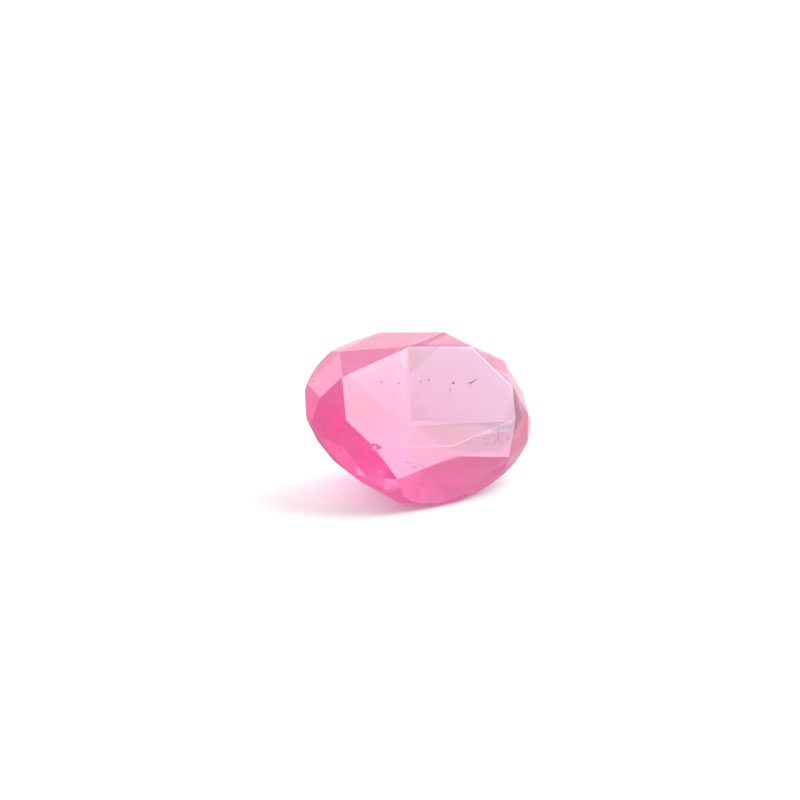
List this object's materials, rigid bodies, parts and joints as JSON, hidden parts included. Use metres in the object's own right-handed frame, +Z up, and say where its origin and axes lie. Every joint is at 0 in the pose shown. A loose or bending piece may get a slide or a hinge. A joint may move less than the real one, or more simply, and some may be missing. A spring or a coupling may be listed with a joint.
{
  "type": "oval-cut ruby gemstone",
  "caption": "Loose oval gemstone of clear pink ruby, cut as a brilliant with a wide flat table and lying tilted on one long side of its pavilion.",
  "frame": {"origin": "on the surface that the stone lies on, under the middle of its box", "axes": "+X along the stone's length, +Z up, and -Y the side that the table faces as it leans 41 degrees over"},
  "size_m": [0.0068, 0.0042, 0.0039],
  "materials": {
    "ruby": "polished"
  },
  "bodies": {
    "root": {"oval_ruby": "ruby"}
  },
  "joints": []
}
